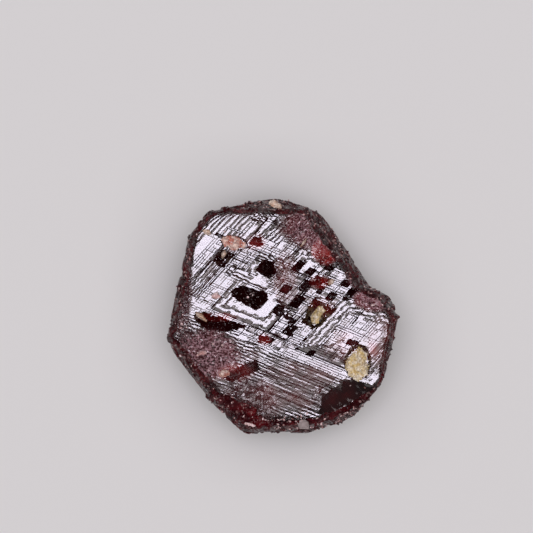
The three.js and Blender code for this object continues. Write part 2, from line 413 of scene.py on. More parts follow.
# The level that the face falls to at its edges. A slope counts only past its start.
def slopeHeight(s, t):
    height = np.full_like(s, faraway)
    lifted = 5.0
    for axis, side, start, level, grade in terraces["slopes"]:
        away = side * ((s if axis == "s" else t) - start)
        height = np.minimum(height, level - grade * np.maximum(away, 0) + lifted * (away < 0))
    return height


# How far inside a rhomb a place stands.
def insideRhomb(s, t, spanS, spanT):
    return np.minimum(np.minimum(s - spanS[0], spanS[1] - s), np.minimum(t - spanT[0], spanT[1] - t))


# The height of the broad face before it is cut into steps.
def swellOf(x, y):
    s, t = linesOf(x, y)
    swell = np.full_like(s, terraces["plateau"])
    for spanS, spanT, axis, level, grade in terraces["flights"]:
        along = s - spanS[0] if axis == "s" else t - spanT[0]
        swell = np.where(insideRhomb(s, t, spanS, spanT) > 0, level + grade * along, swell)
    for spanS, spanT, cliff, grade, inset in terraces["hillocks"]:
        inside = insideRhomb(s, t, spanS, spanT)
        height = terraces["plateau"] + cliff + grade * np.minimum(inside, inset)
        swell = np.where(inside > 0, np.maximum(swell, height), swell)
    for spanS, spanT in terraces["holes"]:
        inside = insideRhomb(s, t, spanS, spanT)
        swell = np.where(inside > 0, terraces["plateau"] - terraces["holeSteepness"] * inside, swell)
    for axis, middle, low, high in terraces["channels"]:
        across, along = (s, t) if axis == "s" else (t, s)
        inside = (np.abs(across - middle) < terraces["channelWidth"] / 2) & (along > low) & (along < high)
        swell = np.where(inside, swell - terraces["channelDepth"], swell)
    swell = np.minimum(swell, slopeHeight(s, t)) - terraces["wornEdge"] * edgeWear(x, y) ** 2
    return roundedLeast([swell, sideHeight(x, y)], crystal["shoulderRounding"])


# From 0 to 1 over the last stretch before the rim.
def edgeWear(x, y):
    angle = np.arctan2(y, x)
    inset = sideReach(angle, np.full_like(x, terraces["plateau"])) - np.hypot(x, y)
    return np.clip(1 - inset / (crystal["edgeWidth"] * waver(angle, crystal["edgeWaves"])), 0, 1)


# A zone is full in its middle and fades out at its ellipse. The fade sets how much of it is full.
def zoneWeight(x, y, middle, half):
    fade = 1.6
    out = np.hypot((x - middle[0]) / half[0], (y - middle[1]) / half[1])
    return np.clip(fade - fade * out ** 2, 0, 1)


# How strongly each growth texture shows. A zone is a soft ellipse: its middle, its half axes, its weight.
everywhere = ((0, 0), (faraway, faraway))
textures = {
    "linesA": [
        (*everywhere, 0.35), ((1.5, -4.4), (5.2, 3.2), -0.32), ((-5.6, 3.4), (1.4, 2.0), 0.5),
        ((-0.8, 7.0), (1.4, 1.6), 0.6), ((6.6, -1.4), (0.9, 2.0), 0.8), ((1.4, 3.8), (1.3, 1.2), 0.5),
    ],
    "linesB": [
        (*everywhere, 0.35), ((1.5, -4.2), (4.4, 2.8), 0.4), ((-2.6, 3.8), (1.6, 1.0), 0.8),
        ((-4.8, 5.4), (3.8, 3.6), -0.32), ((6.0, -1.2), (2.0, 2.8), -0.3),
    ],
    "blocks": [
        (*everywhere, 0.12), ((0.4, 3.0), (1.8, 2.8), 1.0), ((-1.2, -1.8), (1.6, 0.8), 0.8),
        ((5.2, 1.2), (1.2, 0.8), 0.7), ((4.0, -2.4), (1.2, 0.8), 0.9), ((4.7, -0.4), (1.4, 1.2), 0.45),
    ],
    "grit": [
        (*everywhere, 0.06), ((4.6, -6.0), (2.6, 1.6), 1.0), ((-2.6, -6.0), (2.2, 1.9), 0.6),
        ((-5.8, -2.6), (2.6, 2.0), 1.0), ((3.0, -5.4), (1.2, 0.7), 0.4), ((0.1, 2.8), (0.9, 2.4), 0.25),
        ((2.0, 6.6), (2.8, 1.9), 0.7), ((3.2, 4.4), (1.1, 1.1), 1.0), ((6.8, 1.1), (1.8, 0.9), 0.9),
        ((-7.4, 2.6), (0.9, 4.4), 1.0), ((0.0, -8.0), (6.0, 1.0), 1.4), ((7.3, -2.6), (0.6, 3.0), 0.2),
        ((-0.9, 2.9), (1.0, 1.2), 0.2),
    ],
    "dull": [
        (*everywhere, 0.02), ((-5.4, -2.7), (2.5, 2.0), 1.3), ((6.6, 1.3), (1.8, 1.0), 1.4),
        ((5.3, 3.3), (1.0, 1.4), 1.3), ((2.4, 6.4), (2.6, 1.9), 1.1), ((-2.4, -6.2), (2.6, 1.9), 0.25),
        ((-7.3, 2.0), (0.9, 4.6), 0.5), ((-3.2, 5.3), (1.5, 0.9), 0.3), ((3.6, -2.6), (1.3, 0.8), 0.25),
        ((-3.4, 7.7), (1.8, 0.7), 0.2), ((0.2, 3.4), (1.0, 2.0), 0.12), ((-2.6, -2.9), (1.2, 0.8), 0.3),
    ],
    "bare": [((0.5, -8.4), (7.5, 2.4), 1.0), ((7.8, -4.0), (1.7, 4.6), 1.0), ((7.9, 0.6), (1.2, 1.3), 0.6)],
    "sugar": [((5.5, -3.5), (1.5, 1.8), 0.5), ((5.9, -4.6), (0.9, 0.7), 0.5), ((2.4, 0.2), (0.8, 1.0), 0.25)],
    # Pale crumbs: real crumbs on the rim, and in the lower left, upper right, strip and scoop partly painted
    # glints.
    "crumbs": [
        (*everywhere, 0.006), ((0.5, -7.6), (4.6, 0.9), 0.9), ((5.2, -6.9), (1.6, 0.7), 0.9),
        ((-5.6, -3.0), (2.2, 2.0), 0.4), ((-7.4, 1.0), (0.8, 3.4), 0.3), ((-6.9, -0.4), (0.8, 0.8), 0.5),
        ((-0.8, 8.2), (3.4, 0.6), 0.4), ((3.0, 6.0), (2.4, 2.4), 0.4), ((6.6, 1.4), (1.6, 1.0), 0.4),
        ((-4.6, -5.8), (1.6, 1.6), 0.3), ((-3.4, 5.6), (1.4, 0.8), 0.16), ((3.0, 3.6), (1.0, 1.0), 0.2),
        ((-2.35, 1.5), (0.3, 0.25), 0.8), ((5.6, -4.8), (0.9, 0.5), 0.5),
    ],
    "worn": [
        (*everywhere, 0.07), ((-2.2, -6.2), (2.8, 1.8), 0.8), ((-3.2, -4.9), (2.0, 1.2), 0.6),
        ((-5.8, -2.8), (2.8, 2.2), 0.25), ((1.6, -5.9), (3.0, 1.0), 0.4), ((2.0, 6.6), (2.8, 1.9), 0.3),
        ((3.2, 4.4), (1.1, 1.1), 0.3), ((0.2, 2.2), (0.9, 1.6), 0.5), ((6.8, 1.1), (1.8, 0.9), 0.3),
        ((1.6, -3.2), (2.8, 1.4), 0.3), ((1.2, -5.2), (3.4, 1.6), 0.5), ((1.9, -3.6), (3.4, 1.3), 0.15),
        ((1.0, 1.6), (1.0, 1.6), 0.3), ((6.4, -2.0), (1.2, 2.4), 0.3),
    ],
    # Red of healed cracks. The zones on the walls of the red, ember, notch, slot and small pits and the gully
    # add painted red glow: a brighter colour where little light reaches.
    "healedAndGlowRed": [
        (*everywhere, 0.14), ((3.0, 4.7), (1.1, 1.1), 1.6), ((1.8, 6.5), (2.4, 1.7), 0.25),
        ((0.1, 2.8), (1.0, 2.4), 0.3), ((1.6, -4.8), (3.8, 2.0), 0.2), ((-5.4, -2.8), (2.8, 2.0), 0.2),
        ((6.9, -1.8), (1.0, 2.2), 0.35), ((-2.4, -6.0), (2.4, 1.8), 0.1), ((4.8, -2.2), (2.0, 1.6), 0.3),
        ((6.4, 1.2), (1.6, 0.9), 0.5), ((-1.95, 5.4), (0.8, 0.7), 0.5), ((2.8, 0.7), (1.1, 0.8), 0.6),
        ((2.6, 2.5), (0.9, 0.6), 0.6), ((-4.7, 0.0), (1.8, 0.4), 0.6), ((-1.4, -1.6), (0.6, 0.5), 0.5),
        ((4.9, -6.4), (2.2, 1.2), 0.16), ((-3.4, -4.0), (1.6, 0.8), 0.4),
    ],
}
rimTextures = {"crumbs": 0.25, "grit": 0.9, "worn": 0.3}  # what the worn edge adds
footFade = (8, 0.5)  # crumbs start above the foot, so that the crystal rests flat


# The weights of the textures at places. Below the plateau the sides are less freshly broken.
def weightsOf(x, y, z):
    weights = {}
    for name, zones in textures.items():
        total = sum(weight * zoneWeight(x, y, middle, half) for middle, half, weight in zones)
        weights[name] = np.maximum(total, 0)
    inset = edgeWear(x, y)
    weights["crumbs"] += rimTextures["crumbs"] * inset * (1 - inset)
    weights["grit"] += rimTextures["grit"] * inset
    weights["worn"] += rimTextures["worn"] * inset
    outside = np.hypot(x - scoop["middle"][0], y - scoop["middle"][1]) > scoop["mouth"]
    for name, left in scoop["textures"].items():
        weights[name] *= np.where(outside, 1, left)
    risen = np.clip(z / terraces["plateau"], 0, 1)
    weights["bare"] *= risen ** 2
    weights["crumbs"] *= np.clip(footFade[0] * risen - footFade[1], 0, 1)
    return weights


# Etch pits: V-shaped, with walls down from an outline. Each has the height of its rim, how steep its walls
# are, and its outline.
pits = {
    "deep": (11.5, 2.4, [(-3.95, 1.85), (-3.5, 1.2), (-1.9, 0.33), (-1.0, 1.2), (-1.1, 1.8), (-3.1, 2.4)]),
    "square": (11.28, 2.4, [(-2.0, 3.3), (-0.95, 2.75), (-0.5, 3.15), (-0.55, 4.0), (-1.4, 4.3)]),
    "grainPit": (11.3, 2.2, [(-5.2, 4.0), (-4.4, 3.4), (-3.4, 4.5), (-4.55, 5.0)]),
    "red": (11.3, 1.6, [(-2.65, 5.2), (-1.9, 4.85), (-1.3, 5.05), (-1.5, 5.8), (-2.2, 5.9)]),
    "crack": (11.3, 2.0, [(-5.05, 5.8), (-4.0, 5.4), (-3.85, 5.7), (-4.9, 6.15)]),
    "slot": (
        11.35, 2.2,
        [(-6.5, 0.3), (-6.4, -0.4), (-5.5, -1.1), (-4.1, -1.15), (-2.6, -0.8), (-2.5, -0.55), (-5.7, 0.5)],
    ),
    "notch": (11.28, 2.0, [(1.1, -0.4), (2.3, -0.95), (3.8, 0.6), (2.25, 1.45)]),
    "small": (11.3, 1.6, [(-1.95, -1.95), (-1.0, -2.0), (-0.9, -1.3), (-1.9, -1.2)]),
    "ember": (11.3, 1.8, [(1.9, 2.25), (2.7, 2.05), (3.35, 2.75), (2.4, 3.0)]),
    "groove": (11.2, 1.6, [(-0.8, 0.35), (0.85, -0.65), (1.05, -0.35), (-0.4, 0.65)]),
    "gully": (10.62, 1.0, [(-4.9, -4.2), (-3.8, -5.0), (-1.7, -3.7), (-1.9, -3.1)]),
    "hook": (11.4, 1.2, [(3.95, 1.15), (4.6, 1.15), (5.2, 1.3), (4.5, 1.75)]),
    "fleck": (11.4, 1.2, [(4.45, -1.95), (5.3, -2.0), (5.45, -1.75), (4.7, -1.6)]),
}
pitEdge = {"ragged": 0.10, "block": 0.16, "seed": 5.0}
seats = {"sink": 0.08, "margin": 0.9, "steepness": 2.4, "reach": 1.2, "ragged": 0.10, "block": 0.14}
# The scoop is a shell-like break: a rounded hollow with ripples that spread from where the blow fell.
scoop = {
    "radius": 4.0, "middle": (4.7, -7.3, 13.9), "mouth": 2.8, "blow": (6.3, -4.4),
    "ripple": 0.03, "spacing": 0.5, "widening": 0.8, "waves": ((0.05, 3, 2), (0.03, 7, 0), (0.02, 17, 0)),
    "textures": {"healedAndGlowRed": 0.6, "dull": 0, "grit": 0.3},  # the share that is left inside its mouth
}


def pitHeights(x, y):
    height = np.full_like(x, faraway)
    for rim, steepness, outline in pits.values():
        inside = np.full_like(x, faraway)
        for (x0, y0), (x1, y1) in zip(outline, outline[1:] + outline[:1]):
            length = math.hypot(x1 - x0, y1 - y0)
            inside = np.minimum(inside, ((x1 - x0) * (y - y0) - (y1 - y0) * (x - x0)) / length)
        blocky = bricks(x, y, pitEdge["block"], pitEdge["block"], pitEdge["seed"]) - 0.5
        ragged = inside + pitEdge["ragged"] * blocky
        height = np.where(ragged > 0, np.minimum(height, rim - steepness * ragged), height)
    return height


# Seats that the rock grains lie in, each an ellipse fitted round its grain in the frame.
def seatHeights(x, y):
    height = np.full_like(x, faraway)
    for name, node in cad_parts.items():
        if name == "garnet_crystal":
            continue
        corners = np.array([corner.co for corner in node.data.vertices]) / mm
        middle = corners.mean(axis=0)
        spread, axes = np.linalg.eigh(np.cov((corners - middle)[:, :2].T))
        across = np.stack([x - middle[0], y - middle[1]], axis=-1) @ axes / np.sqrt(3 * spread)
        blocky = bricks(x, y, seats["block"], seats["block"], middle[0]) - 0.5
        reach = np.hypot(across[..., 0], across[..., 1]) + seats["ragged"] * blocky
        seat = middle[2] - seats["sink"] + seats["steepness"] * np.maximum(reach - seats["margin"], 0)
        height = np.where(reach < seats["reach"], np.minimum(height, seat), height)
    return height


def scoopHeights(x, y):
    dx, dy = x - scoop["middle"][0], y - scoop["middle"][1]
    out = waver(np.arctan2(dy, dx), scoop["waves"]) * np.hypot(dx, dy)
    under = scoop["radius"] ** 2 - out ** 2
    spread = np.hypot(x - scoop["blow"][0], y - scoop["blow"][1])
    ripples = scoop["ripple"] * np.cos(2 * math.pi * spread ** scoop["widening"] / scoop["spacing"])
    return np.where(under > 0, scoop["middle"][2] - np.sqrt(np.maximum(under, 0)) + ripples, faraway)


# The broad face: the cells of the lattice grid inside the rim, and the rim's own places in order.
def faceGrid():
    pitch = crystal["pitch"]
    x, y = latticeGrid(pitch, crystal["faceReach"])

    # Above zero inside the rim, where the faces round the sides rise over the face's edge.
    def margin(x, y):
        edge = np.minimum(slopeHeight(*linesOf(x, y)), terraces["plateau"])
        return sideHeight(x, y) - edge + crystal["rimDrop"]

    inside = margin(x, y) > 0
    cells = inside[:-1, :-1] & inside[1:, :-1] & inside[1:, 1:] & inside[:-1, 1:]

    # Cells that hang on by one side are dropped, in a few rounds, so that the rim is one loop.
    for _ in range(3):
        around = np.zeros(cells.shape, int)
        around[1:] += cells[:-1]
        around[:-1] += cells[1:]
        around[:, 1:] += cells[:, :-1]
        around[:, :-1] += cells[:, 1:]
        cells = cells & (around > 1)
    used = np.zeros_like(inside)
    corners = ((0, 0), (1, 0), (1, 1), (0, 1))
    for di, dj in corners:
        used[di:di + cells.shape[0], dj:dj + cells.shape[1]] |= cells
    number = np.full(inside.shape, -1)
    number[used] = np.arange(int(used.sum()))
    ci, cj = np.nonzero(cells)
    quads = np.stack([number[ci + di, cj + dj] for di, dj in corners], axis=1)

    # An edge that no neighbour runs back along is on the rim.
    edges = np.concatenate([quads[:, [k, (k + 1) % 4]] for k in range(4)])
    size = len(edges) * 4
    outer = edges[~np.isin(edges[:, 0] * size + edges[:, 1], edges[:, 1] * size + edges[:, 0])]
    following = dict(outer.tolist())
    rim = [int(outer[0, 0])]
    while following[rim[-1]] != rim[0]:
        rim.append(following[rim[-1]])
    print("face rim", len(rim), "of", len(outer), "edges")
    x, y = x[used], y[used]

    # The rim's places slide to where the margin is zero, by small steps down its slope.
    rx, ry = x[rim], y[rim]
    step, limit, leastSlope = 1e-3, 0.6 * pitch, 0.3
    for _ in range(5):
        gap = margin(rx, ry)
        gx = (margin(rx + step, ry) - gap) / step
        gy = (margin(rx, ry + step) - gap) / step
        steep = np.maximum(gx * gx + gy * gy, leastSlope)
        rx = rx - np.clip(gap * gx / steep, -limit, limit)
        ry = ry - np.clip(gap * gy / steep, -limit, limit)
    x[rim], y[rim] = rx, ry
    return x, y, quads, rim


# Joins two closed rings of places, the first above the second, by the angles of their places.
def zippedRings(upper, upperAngles, lower, lowerAngles):
    faces = []
    i = j = 0
    highest = np.append(np.maximum.accumulate(upperAngles), upperAngles[0] + 2 * math.pi)
    lowest = np.append(lowerAngles, lowerAngles[0] + 2 * math.pi)
    while i < len(upper) or j < len(lower):
        a, b = upper[i % len(upper)], lower[j % len(lower)]
        if j >= len(lower) or (i < len(upper) and highest[i + 1] <= lowest[j + 1]):
            faces.append((a, b, upper[(i + 1) % len(upper)]))
            i += 1
        else:
            faces.append((a, b, lower[(j + 1) % len(lower)]))
            j += 1
    return faces


# The base: a net of places inside the foot's ring, joined by a Delaunay triangulation.
def baseNet(ring):
    pitch = crystal["basePitch"]
    x, y = (values.ravel() for values in latticeGrid(pitch, crystal["baseReach"]))
    keep = np.hypot(x, y) < sideReach(np.arctan2(y, x), np.zeros_like(x)) - 0.5 * pitch
    x, y = x[keep], y[keep]
    flat = [Vector(p) for p in ring.tolist()] + [Vector(p) for p in zip(x.tolist(), y.tolist())]
    count = len(ring)
    loop = [(k, (k + 1) % count) for k in range(count)]
    places, _, faces, origins, _, _ = delaunay_2d_cdt(flat, loop, [], 1, 1e-6)
    first = [origin[0] for origin in origins]
    return x, y, [tuple(first[k] for k in reversed(face)) for face in faces]


def makeGarnet():
    x, y, quads, rim = faceGrid()
    ceiling = sideHeight(x, y)
    swell = swellOf(x, y)
    top = np.stack([x, y, ceiling], axis=1)

    # The rim turned to start at the lowest angle, and how far it stands from the sides' own reach.
    angles = np.arctan2(y[rim], x[rim])
    start = int(np.argmin(angles))
    rim = rim[start:] + rim[:start]
    angles = np.roll(angles, -start)
    rimHeight = np.minimum(ceiling[rim], swell[rim])
    rimReach = np.hypot(x[rim], y[rim])
    columns, rows = crystal["columns"], crystal["rows"]
    column = -math.pi + 2 * math.pi * (np.arange(columns) + 0.5) / columns
    height = np.interp(column, angles, rimHeight, period=2 * math.pi)
    misfit = np.interp(column, angles, rimReach, period=2 * math.pi) - sideReach(column, height)

    # The sides: rings of places from just under the rim down to the foot.
    fall = (np.arange(rows + 1) + 0.5) / (rows + 0.5)
    fall[-1] = 1.0
    z = height[None, :] * (1 - fall[:, None])
    angle = np.broadcast_to(column, z.shape)
    reach = sideReach(angle, z) + misfit * np.exp((z - height) / crystal["rimFade"])
    sides = np.stack([reach * np.cos(angle), reach * np.sin(angle), z], axis=2).reshape(-1, 3)

    count = len(top)
    ring = count + np.arange(columns)
    faces = quads.tolist() + zippedRings(rim, angles, ring.tolist(), column)
    for row in range(rows):
        a, b = count + row * columns, count + (row + 1) * columns
        for k in range(columns):
            k1 = (k + 1) % columns
            faces.append((a + k, b + k, b + k1, a + k1))
    foot = count + rows * columns
    bx, by, net = baseNet(sides[rows * columns:, :2])
    faces += [tuple(foot + k for k in face) for face in net]
    bs, bt = linesOf(bx, by)
    hollows = np.round(2 * bricks(bs, bt, 2.1, 1.5, 3.0) * bricks(bs, bt, 0.9, 2.7, 8.0))
    base = np.stack([bx, by, crystal["baseStep"] * hollows], axis=1)
    places = np.concatenate([top, sides, base]) * mm
    mesh = bpy.data.meshes.new("garnetCrystal")
    mesh.from_pydata(places.tolist(), [], faces)

    # Each value on the broad face, and the one that the sides and the base have. Theirs never cuts them.
    scooped = scoopHeights(x, y)
    below, scoopEdge = 9.0, 0.05
    fields = {
        "swell": (swell * mm, below),
        "pit": (np.minimum(np.minimum(pitHeights(x, y), seatHeights(x, y)), scooped) * mm, below),
        "smooth": (np.clip((swell - scooped) / scoopEdge, 0, 1), 0.0),
        "side": (edgeWear(x, y), 1.0),
    }
    extra = len(places) - count
    values = {name: np.concatenate([on, np.full(extra, off)]) for name, (on, off) in fields.items()}
    values.update(weightsOf(*(places / mm).T))
    for name, amounts in values.items():
        attribute = mesh.attributes.new(name, "FLOAT", "POINT")
        attribute.data.foreach_set("value", amounts)
    print("crystal net", len(places), "places", len(faces), "faces")
    return addPiece("garnetCrystal", mesh)


# Growth steps: the swell is cut into level sheets. Bricks along the growth lines make the step edges jog,
# grain roughens the dull zones, and weathering eats into the sides in ragged plates.
growthSteps = {
    "Step Height": 0.05 * mm,
    "Riser Share": 0.45,
    "Widest Riser": 0.7,
    "Worn Riser": 0.7,
    "Level Tilt": 0.04,
    "Worn Tilt": 0.45,
    "Long Brick": 3.36 * mm,
    "Short Brick": 0.896 * mm,
    "Brick Width": 0.168 * mm,
    "Jog Height": 0.04 * mm,
    "Block Size": 0.336 * mm,
    "Grain Height": 0.16 * mm,
    "Grain Size": 0.35 * mm,
    "Weathering Depth": 0.8 * mm,
    "Weathering Size": 1.3 * mm,
    "Weathering Level": 0.38,
    "Plate Thickness": 0.12 * mm,
    "Plate Slope": 0.35,
    "Fleck Share": 1.2,
    "Skin Edge": 1.36,
    "Polish Edge": 0.9,
    "Seed": 3.0,
}
skinFlecks = 0.8  # mm, the size of the skin's ragged edge


def growthTree(stone, skin):
    tree, start = newTree("growthSteps", {}, growthSteps)
    value = {name: start[name] for name in growthSteps}
    for name in ("swell", "pit", "linesA", "linesB", "blocks", "grit", "worn", "side", "smooth"):
        value[name] = addNode(
            tree, "GeometryNodeInputNamedAttribute", {"data_type": "FLOAT", "Name": name}
        ).outputs["Attribute"]
    place = addNode(tree, "GeometryNodeInputPosition").outputs[0]
    across = []
    for direction in (acrossS, acrossT):
        flat = (float(direction[0]), float(direction[1]), 0.0)
        distance = addNode(tree, "ShaderNodeVectorMath", {"operation": "DOT_PRODUCT", 0: place, 1: flat})
        across.append(distance.outputs["Value"])
    gridPlace = addNode(tree, "ShaderNodeCombineXYZ", {0: across[0], 1: across[1]}).outputs[0]

    # Places lie on the grid's lines, so they are nudged off the bricks' edges. Each layout of bricks has its
    # sizes along s and t, the texture that it belongs to and its share.
    offGrid = addNode(
        tree, "ShaderNodeVectorMath", {"operation": "ADD", 0: gridPlace, 1: (0.01 * mm, 0.01 * mm, 0.0)}
    ).outputs[0]
    height = value["swell"]
    layouts = [
        ("Brick Width", "Long Brick", "linesA", 1.0),
        ("Brick Width", "Short Brick", "linesA", 0.4),
        ("Long Brick", "Brick Width", "linesB", 1.0),
        ("Short Brick", "Brick Width", "linesB", 0.4),
        ("Block Size", "Block Size", "blocks", 2.4),
    ]
    for n, (sizeS, sizeT, weight, share) in enumerate(layouts):
        size = addNode(tree, "ShaderNodeCombineXYZ", {0: start[sizeS], 1: start[sizeT], 2: 1.0}).outputs[0]
        shrunk = addNode(
            tree, "ShaderNodeVectorMath", {"operation": "DIVIDE", 0: offGrid, 1: size}
        ).outputs[0]
        cell = addNode(tree, "ShaderNodeVectorMath", {"operation": "FLOOR", 0: shrunk}).outputs[0]
        seed = addNode(tree, "ShaderNodeMath", {"operation": "ADD", 0: start["Seed"], 1: 5.0 * n}).outputs[0]
        draw = addNode(
            tree, "ShaderNodeTexWhiteNoise", {"noise_dimensions": "4D", "Vector": cell, "W": seed}
        ).outputs["Value"]
        centred = addNode(tree, "ShaderNodeMath", {"operation": "SUBTRACT", 0: draw, 1: 0.5}).outputs[0]
        jog = addNode(
            tree, "ShaderNodeMath", {"operation": "MULTIPLY", 0: centred, 1: start["Jog Height"]}
        ).outputs[0]
        amount = addNode(
            tree, "ShaderNodeMath", {"operation": "MULTIPLY", 0: value[weight], 1: share}
        ).outputs[0]
        height = addNode(
            tree, "ShaderNodeMath", {"operation": "MULTIPLY_ADD", 0: jog, 1: amount, 2: height}
        ).outputs[0]
    grainScale, plateScale = (
        addNode(tree, "ShaderNodeMath", {"operation": "DIVIDE", 0: 1.0, 1: start[name]}).outputs[0]
        for name in ("Grain Size", "Weathering Size")
    )
    value["height"] = height
    value["grain"] = addNode(
        tree, "ShaderNodeTexNoise", {"Detail": 2.0, "Roughness": 0.6, "Vector": place, "Scale": grainScale}
    ).outputs[0]
    value["plates"] = addNode(
        tree, "ShaderNodeTexNoise",
        {"Detail": 5.0, "Roughness": 0.62, "Distortion": 0.4, "Vector": place, "Scale": plateScale},
    ).outputs[0]
    value["flecks"] = addNode(
        tree, "ShaderNodeTexNoise", {"Scale": 1 / (skinFlecks * mm), "Detail": 5.0, "Vector": place}
    ).outputs[0]
    apart = addNode(tree, "ShaderNodeSeparateXYZ", {0: place}).outputs
    value["own height"] = apart["Z"]

    # Each line works out one value from numbers and the values above it.
    sums = [
        ("sheet", "SNAP", "height", "Step Height"),
        ("tilt", "MULTIPLY_ADD", "worn", "Worn Tilt", "Level Tilt"),
        ("lean", "MINIMUM", "tilt", 1.0),
        ("over", "SUBTRACT", "height", "sheet"),
        ("share", "DIVIDE", "over", "Step Height"),
        ("wide riser", "MULTIPLY_ADD", "worn", "Worn Riser", "Riser Share"),
        ("riser share", "MINIMUM", "wide riser", "Widest Riser"),
        ("tread share", "SUBTRACT", 1.0, "riser share"),
        ("past tread", "SUBTRACT", "share", "tread share"),
        ("climb", "DIVIDE", "past tread", "riser share"),
        ("riser", "MAXIMUM", "climb", 0.0),
        ("along tread", "SUBTRACT", "share", "riser"),
        ("leant", "MULTIPLY", "along tread", "lean"),
        ("risen", "ADD", "leant", "riser"),
        ("tread", "MULTIPLY_ADD", "risen", "Step Height", "sheet"),
        ("bump", "SUBTRACT", "grain", 0.5),
        ("rough", "MULTIPLY", "bump", "Grain Height"),
        ("grained", "MULTIPLY_ADD", "rough", "grit", "tread"),
        ("capped", "MINIMUM", "own height", "grained"),
        ("faced", "MINIMUM", "capped", "pit"),
        ("plate", "SUBTRACT", "plates", "Weathering Level"),
        ("deep", "MULTIPLY", "plate", "Weathering Depth"),
        ("ledge", "SNAP", "deep", "Plate Thickness"),
        ("worn ledge", "MULTIPLY_ADD", "deep", "Plate Slope", "ledge"),
        ("eaten", "MULTIPLY", "worn ledge", "side"),
        ("film", "MULTIPLY_ADD", "flecks", "Fleck Share", "side"),
        ("skinned", "GREATER_THAN", "film", "Skin Edge"),
        ("polished", "GREATER_THAN", "smooth", "Polish Edge"),
    ]
    for name, operation, *parts in sums:
        node = {k: value[part] if isinstance(part, str) else part for k, part in enumerate(parts)}
        value[name] = addNode(tree, "ShaderNodeMath", {"operation": operation, **node}).outputs[0]

    # The face takes its height, and weathering pushes the sides in. The scoop is polished.
    outward = addNode(
        tree, "ShaderNodeVectorMath", {"operation": "MULTIPLY", 0: place, 1: (-1.0, -1.0, 0.0)}
    ).outputs[0]
    inward = addNode(tree, "ShaderNodeVectorMath", {"operation": "NORMALIZE", 0: outward}).outputs[0]
    push = addNode(
        tree, "ShaderNodeVectorMath", {"operation": "SCALE", 0: inward, "Scale": value["eaten"]}
    ).outputs[0]
    moved = addNode(
        tree, "ShaderNodeCombineXYZ", {"X": apart["X"], "Y": apart["Y"], "Z": value["faced"]}
    ).outputs[0]
    grown = addNode(
        tree, "GeometryNodeSetPosition", {"Geometry": start["Geometry"], "Position": moved, "Offset": push}
    ).outputs[0]
    polished = addNode(
        tree, "GeometryNodeSetShadeSmooth",
        {"Geometry": grown, "Shade Smooth": True, "Selection": value["polished"]},
    ).outputs[0]
    whole = addNode(tree, "GeometryNodeRealizeInstances", {"Geometry": polished}).outputs[0]
    clear = addNode(tree, "GeometryNodeSetMaterial", {"Geometry": whole, "Material": stone}).outputs[0]
    finished = addNode(
        tree, "GeometryNodeSetMaterial", {"Geometry": clear, "Material": skin, "Selection": value["skinned"]}
    ).outputs[0]
    addNode(tree, "NodeGroupOutput", {0: finished})
    return tree


# Broken grains, by their size in mm: each cell of the pattern leans its own way. Gives the cells' draws and
# the leaning heights.
def brokenGrains(tree, coords, size):
    cells = addNode(
        tree, "ShaderNodeTexVoronoi", {"Scale": 1 / (size * mm), "Vector": coords}
    ).outputs["Color"]
    lean = addNode(
        tree, "ShaderNodeVectorMath", {"operation": "SUBTRACT", 0: cells, 1: (0.5, 0.5, 0.5)}
    ).outputs[0]
    facets = addNode(tree, "ShaderNodeVectorMath", {"operation": "DOT_PRODUCT", 0: lean, 1: coords})
    return cells, facets.outputs["Value"]


# Almandine garnet, grown in schist: vitreous and clear, but so deep a red that it looks black where it is
# thick. Healed cracks scatter wine red, and on the pit walls the same red is painted glow, a brighter colour
# where little light reaches. A fine mauve film dulls the worn parts, where broken grains glint. Sizes are in
# mm.
garnetLook = {
    "clear": "#5e1a20", "crackAndGlowRed": "#a8241f", "film": "#b58f96", "light through": "#e24550", "density": 2600.0,
    "cloud size": 1.1, "film size": 0.14, "grain size": 0.17, "grain lean": 1.7,
}


